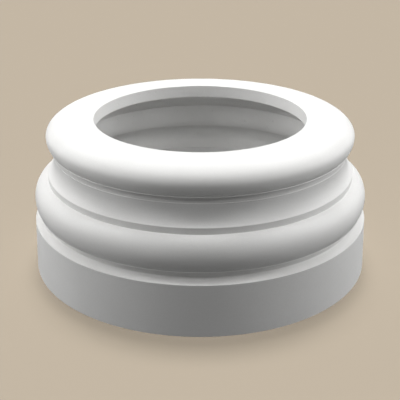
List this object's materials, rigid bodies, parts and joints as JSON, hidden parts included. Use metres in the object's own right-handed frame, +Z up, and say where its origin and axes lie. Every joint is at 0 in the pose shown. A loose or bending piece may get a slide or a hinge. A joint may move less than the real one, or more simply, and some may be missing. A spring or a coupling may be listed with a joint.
{
  "type": "column base",
  "caption": "Round hollow column base moulded as one ring: flat bed with a passage for the column, upper torus, scotia, lower torus and plain round plinth.",
  "frame": {"origin": "centre of the underside, on the surface that the base stands on", "axes": "+Z up along the column's axis; the base is round, so +X and +Y are free"},
  "size_m": [0.59, 0.59, 0.26],
  "materials": {
    "white_polyurethane": "moulded rigid polyurethane foam skin with a matt white factory primer"
  },
  "bodies": {
    "root": {"column_base": "white_polyurethane"}
  },
  "joints": []
}
